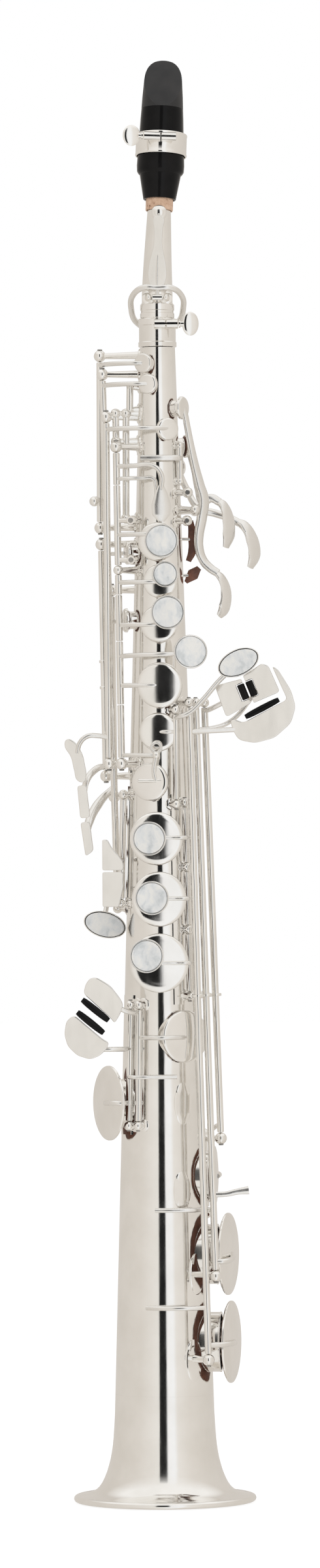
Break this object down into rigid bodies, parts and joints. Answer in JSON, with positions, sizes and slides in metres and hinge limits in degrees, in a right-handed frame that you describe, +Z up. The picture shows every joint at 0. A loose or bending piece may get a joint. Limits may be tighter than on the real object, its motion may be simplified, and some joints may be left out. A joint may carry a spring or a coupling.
{
  "type": "soprano saxophone",
  "caption": "Straight conical silver-plated soprano saxophone with a flared bell, key work on ball posts, pearl touches, a slightly bent neck and a black mouthpiece.",
  "frame": {"origin": "centre of the bell mouth, in the plane of the bell rim", "axes": "+Z up the axis of the body, -Y towards the front keys, +X towards the left little-finger table"},
  "size_m": [0.1124, 0.088, 0.6935],
  "materials": {
    "silver": "polished silver plate on brass",
    "pearl": "mother of pearl",
    "ebonite": "hard rubber",
    "cork": "cork",
    "cane": "cane",
    "roller": "polished black"
  },
  "bodies": {
    "body": {"bell": "silver", "body_tube": "silver", "neck_receiver": "silver", "thumb_rest": "ebonite", "thumb_hook": "silver", "strap_ring": "silver"},
    "receiver_screw": {"receiver_screw": "silver"},
    "neck": {"neck_tube": "silver", "neck_cork": "cork"},
    "neck_octave_key": {"neck_octave_key": "silver"},
    "mouthpiece": {"mouthpiece": "ebonite", "reed": "cane", "ligature": "silver"},
    "ligature_screw": {"ligature_screw": "silver"},
    "octave_thumb_lever": {"octave_thumb_lever": "silver"},
    "palm_f_key": {"palm_f_key": "silver"},
    "palm_eb_key": {"palm_eb_key": "silver"},
    "palm_d_key": {"palm_d_key": "silver"},
    "front_f_key": {"front_f_key": "silver"},
    "b_key": {"b_key": "silver", "b_pearl": "pearl"},
    "bis_key": {"bis_key": "silver", "bis_pearl": "pearl"},
    "a_key": {"a_key": "silver", "a_pearl": "pearl"},
    "g_key": {"g_key": "silver", "g_pearl": "pearl"},
    "gs_key": {"gs_key": "silver", "gs_pearl": "pearl"},
    "fs_key": {"fs_key": "silver"},
    "f_key": {"f_key": "silver", "f_pearl": "pearl"},
    "e_key": {"e_key": "silver", "e_pearl": "pearl"},
    "d_key": {"d_key": "silver", "d_pearl": "pearl"},
    "high_e_key": {"high_e_key": "silver"},
    "high_fs_key": {"high_fs_key": "silver", "high_fs_pearl": "pearl"},
    "high_g_key": {"high_g_key": "silver"},
    "side_c_key": {"side_c_key": "silver"},
    "side_bb_key": {"side_bb_key": "silver"},
    "side_fs_key": {"side_fs_key": "silver"},
    "low_eb_key": {"low_eb_key": "silver"},
    "eb_roller": {"eb_roller": "roller"},
    "low_c_key": {"low_c_key": "silver"},
    "c_roller": {"c_roller": "roller"},
    "low_cs_lever": {"low_cs_lever": "silver"},
    "table_roller_left": {"table_roller_left": "roller"},
    "low_cs_key": {"low_cs_key": "silver"},
    "low_b_key": {"low_b_key": "silver"},
    "table_roller_right": {"table_roller_right": "roller"},
    "low_bb_key": {"low_bb_key": "silver"},
    "bb_roller": {"bb_roller": "roller"}
  },
  "joints": [
    {"name": "neck_swivel", "type": "hinge", "parent": "body", "child": "neck", "pos_m": [0, 0, 0.563], "axis": [0, 0, 1], "range_deg": [-8, 8]},
    {"name": "mouthpiece_slide", "type": "slide", "parent": "neck", "child": "mouthpiece", "axis": [0.0366, 0.1126, 0.993], "range_m": [-0.003, 0.004]},
    {"name": "ligature_screw_turn", "type": "hinge", "parent": "mouthpiece", "child": "ligature_screw", "pos_m": [-0.00634, -0.00582, 0.65842], "axis": [-0.9993, 0.0021, 0.0366], "continuous": true},
    {"name": "receiver_screw_turn", "type": "hinge", "parent": "body", "child": "receiver_screw", "pos_m": [0.0103, -0.0104, 0.5674], "axis": [1, 0, 0], "continuous": true},
    {"name": "neck_octave_rock", "type": "hinge", "parent": "neck", "child": "neck_octave_key", "pos_m": [-0.00397, -0.0095, 0.58029], "axis": [1, -0.0001, -0.0086], "range_deg": [0, 6], "stiffness_Nm_per_rad": 0.02, "springref_deg": -28.65},
    {"name": "octave_lever_rock", "type": "hinge", "parent": "body", "child": "octave_thumb_lever", "pos_m": [-0.0055, 0.01309, 0.535], "axis": [1, 0, 0], "range_deg": [-3, 0], "stiffness_Nm_per_rad": 0.02, "springref_deg": 28.65},
    {"name": "palm_f_swing", "type": "hinge", "parent": "body", "child": "palm_f_key", "pos_m": [0.0175, -0.0112, 0.478], "axis": [0, 1, 0], "range_deg": [0, 5], "stiffness_Nm_per_rad": 0.02, "springref_deg": -28.65},
    {"name": "palm_eb_swing", "type": "hinge", "parent": "body", "child": "palm_eb_key", "pos_m": [0.0175, -0.0112, 0.478], "axis": [0, 1, 0], "range_deg": [0, 5], "stiffness_Nm_per_rad": 0.02, "springref_deg": -28.65},
    {"name": "palm_d_swing", "type": "hinge", "parent": "body", "child": "palm_d_key", "pos_m": [0.0175, -0.0112, 0.478], "axis": [0, 1, 0], "range_deg": [0, 5], "stiffness_Nm_per_rad": 0.02, "springref_deg": -28.65},
    {"name": "front_f_swing", "type": "hinge", "parent": "body", "child": "front_f_key", "pos_m": [-0.01854, -0.01448, 0.3558], "axis": [-0.0112, 0.0439, 0.999], "range_deg": [0, 6], "stiffness_Nm_per_rad": 0.02, "springref_deg": -28.65},
    {"name": "b_swing", "type": "hinge", "parent": "body", "child": "b_key", "pos_m": [-0.01854, -0.01448, 0.3558], "axis": [-0.0112, 0.0439, 0.999], "range_deg": [0, 6], "stiffness_Nm_per_rad": 0.02, "springref_deg": -28.65},
    {"name": "bis_swing", "type": "hinge", "parent": "body", "child": "bis_key", "pos_m": [-0.01854, -0.01448, 0.3558], "axis": [-0.0112, 0.0439, 0.999], "range_deg": [0, 6], "stiffness_Nm_per_rad": 0.02, "springref_deg": -28.65},
    {"name": "a_swing", "type": "hinge", "parent": "body", "child": "a_key", "pos_m": [-0.01854, -0.01448, 0.3558], "axis": [-0.0112, 0.0439, 0.999], "range_deg": [0, 6], "stiffness_Nm_per_rad": 0.02, "springref_deg": -28.65},
    {"name": "g_swing", "type": "hinge", "parent": "body", "child": "g_key", "pos_m": [-0.01854, -0.01448, 0.3558], "axis": [-0.0112, 0.0439, 0.999], "range_deg": [0, 6], "stiffness_Nm_per_rad": 0.02, "springref_deg": -28.65},
    {"name": "fs_swing", "type": "hinge", "parent": "body", "child": "fs_key", "pos_m": [-0.01854, -0.01448, 0.3558], "axis": [-0.0112, 0.0439, 0.999], "range_deg": [0, 6], "stiffness_Nm_per_rad": 0.02, "springref_deg": -28.65},
    {"name": "f_swing", "type": "hinge", "parent": "body", "child": "f_key", "pos_m": [0.01344, -0.01602, 0.244], "axis": [-0.0195, 0.0232, 0.9995], "range_deg": [-7, 0], "stiffness_Nm_per_rad": 0.02, "springref_deg": 28.65},
    {"name": "e_swing", "type": "hinge", "parent": "body", "child": "e_key", "pos_m": [0.01344, -0.01602, 0.244], "axis": [-0.0195, 0.0232, 0.9995], "range_deg": [-7, 0], "stiffness_Nm_per_rad": 0.02, "springref_deg": 28.65},
    {"name": "d_swing", "type": "hinge", "parent": "body", "child": "d_key", "pos_m": [0.01344, -0.01602, 0.244], "axis": [-0.0195, 0.0232, 0.9995], "range_deg": [-7, 0], "stiffness_Nm_per_rad": 0.02, "springref_deg": 28.65},
    {"name": "gs_swing", "type": "hinge", "parent": "body", "child": "gs_key", "pos_m": [0.0075, -0.0192, 0.3362], "axis": [0, 0.0327, 0.9995], "range_deg": [0, 5], "stiffness_Nm_per_rad": 0.02, "springref_deg": -28.65},
    {"name": "high_e_swing", "type": "hinge", "parent": "body", "child": "high_e_key", "pos_m": [-0.02459, -0.00993, 0.3558], "axis": [-0.0024, 0.0276, 0.9996], "range_deg": [-6, 0], "stiffness_Nm_per_rad": 0.02, "springref_deg": 28.65},
    {"name": "high_fs_swing", "type": "hinge", "parent": "body", "child": "high_fs_key", "pos_m": [-0.02103, 0.00296, 0.286], "axis": [-0.022, -0.0078, 0.9997], "range_deg": [-6, 0], "stiffness_Nm_per_rad": 0.02, "springref_deg": 28.65},
    {"name": "high_g_swing", "type": "hinge", "parent": "body", "child": "high_g_key", "pos_m": [-0.0282, 0.00703, 0.47], "axis": [0.0034, -0.0071, 1], "range_deg": [-6, 0], "stiffness_Nm_per_rad": 0.02, "springref_deg": 28.65},
    {"name": "side_c_swing", "type": "hinge", "parent": "body", "child": "side_c_key", "pos_m": [-0.02624, 0.0106, 0.35], "axis": [-0.0135, -0.0328, 0.9994], "range_deg": [-6, 0], "stiffness_Nm_per_rad": 0.02, "springref_deg": 28.65},
    {"name": "side_bb_swing", "type": "hinge", "parent": "body", "child": "side_bb_key", "pos_m": [-0.02241, 0.01628, 0.34], "axis": [-0.0062, 0.0045, 1], "range_deg": [-6, 0], "stiffness_Nm_per_rad": 0.02, "springref_deg": 28.65},
    {"name": "side_fs_swing", "type": "hinge", "parent": "body", "child": "side_fs_key", "pos_m": [-0.01938, -0.00519, 0.2885], "axis": [0.0293, 0.0078, 0.9995], "range_deg": [0, 5], "stiffness_Nm_per_rad": 0.02, "springref_deg": -28.65},
    {"name": "low_eb_swing", "type": "hinge", "parent": "body", "child": "low_eb_key", "pos_m": [-0.01182, -0.02133, 0.182], "axis": [0.0147, 0.0265, 0.9995], "range_deg": [-4, 0], "stiffness_Nm_per_rad": 0.02, "springref_deg": 28.65},
    {"name": "low_c_swing", "type": "hinge", "parent": "body", "child": "low_c_key", "pos_m": [-0.01626, -0.01871, 0.182], "axis": [0.0199, 0.0229, 0.9995], "range_deg": [-10, 0], "stiffness_Nm_per_rad": 0.02, "springref_deg": 28.65},
    {"name": "low_cs_lever_swing", "type": "hinge", "parent": "body", "child": "low_cs_lever", "pos_m": [0.028, -0.004, 0.175], "axis": [-0.0314, -0.0095, 0.9995], "range_deg": [0, 5], "stiffness_Nm_per_rad": 0.02, "springref_deg": -28.65},
    {"name": "low_cs_cup_swing", "type": "hinge", "parent": "body", "child": "low_cs_key", "pos_m": [0.02078, 0.01743, 0.138], "axis": [-0.0232, -0.0195, 0.9995], "range_deg": [0, 8], "stiffness_Nm_per_rad": 0.02, "springref_deg": -28.65},
    {"name": "low_b_swing", "type": "hinge", "parent": "body", "child": "low_b_key", "pos_m": [0.025, -0.025, 0.11], "axis": [-0.0283, 0.0465, 0.9985], "range_deg": [0, 9], "stiffness_Nm_per_rad": 0.02, "springref_deg": -28.65},
    {"name": "low_bb_swing", "type": "hinge", "parent": "body", "child": "low_bb_key", "pos_m": [0.0212, -0.027, 0.07], "axis": [-0.0232, 0.0286, 0.9993], "range_deg": [0, 8], "stiffness_Nm_per_rad": 0.02, "springref_deg": -28.65},
    {"name": "eb_roller_spin", "type": "hinge", "parent": "low_eb_key", "child": "eb_roller", "pos_m": [-0.0382, -0.0252, 0.243], "axis": [0.7772, 0, -0.6292], "continuous": true},
    {"name": "c_roller_spin", "type": "hinge", "parent": "low_c_key", "child": "c_roller", "pos_m": [-0.0406, -0.0252, 0.237], "axis": [0.7772, 0, -0.6292], "continuous": true},
    {"name": "bb_roller_spin", "type": "hinge", "parent": "low_bb_key", "child": "bb_roller", "pos_m": [0.041, -0.0169, 0.37785], "axis": [0.8889, 0, 0.4582], "continuous": true},
    {"name": "table_roller_left_spin", "type": "hinge", "parent": "low_cs_lever", "child": "table_roller_left", "pos_m": [0.03866, -0.0167, 0.3936], "axis": [0.3714, 0, -0.9285], "continuous": true},
    {"name": "table_roller_right_spin", "type": "hinge", "parent": "low_b_key", "child": "table_roller_right", "pos_m": [0.04266, -0.0167, 0.3952], "axis": [0.3714, 0, -0.9285], "continuous": true}
  ],
  "couplings": [
    {"joint": "neck_octave_rock", "follows": "octave_lever_rock", "ratio": -2},
    {"joint": "fs_swing", "follows": "f_swing", "ratio": -0.85},
    {"joint": "low_cs_cup_swing", "follows": "low_cs_lever_swing", "ratio": 1.6}
  ]
}
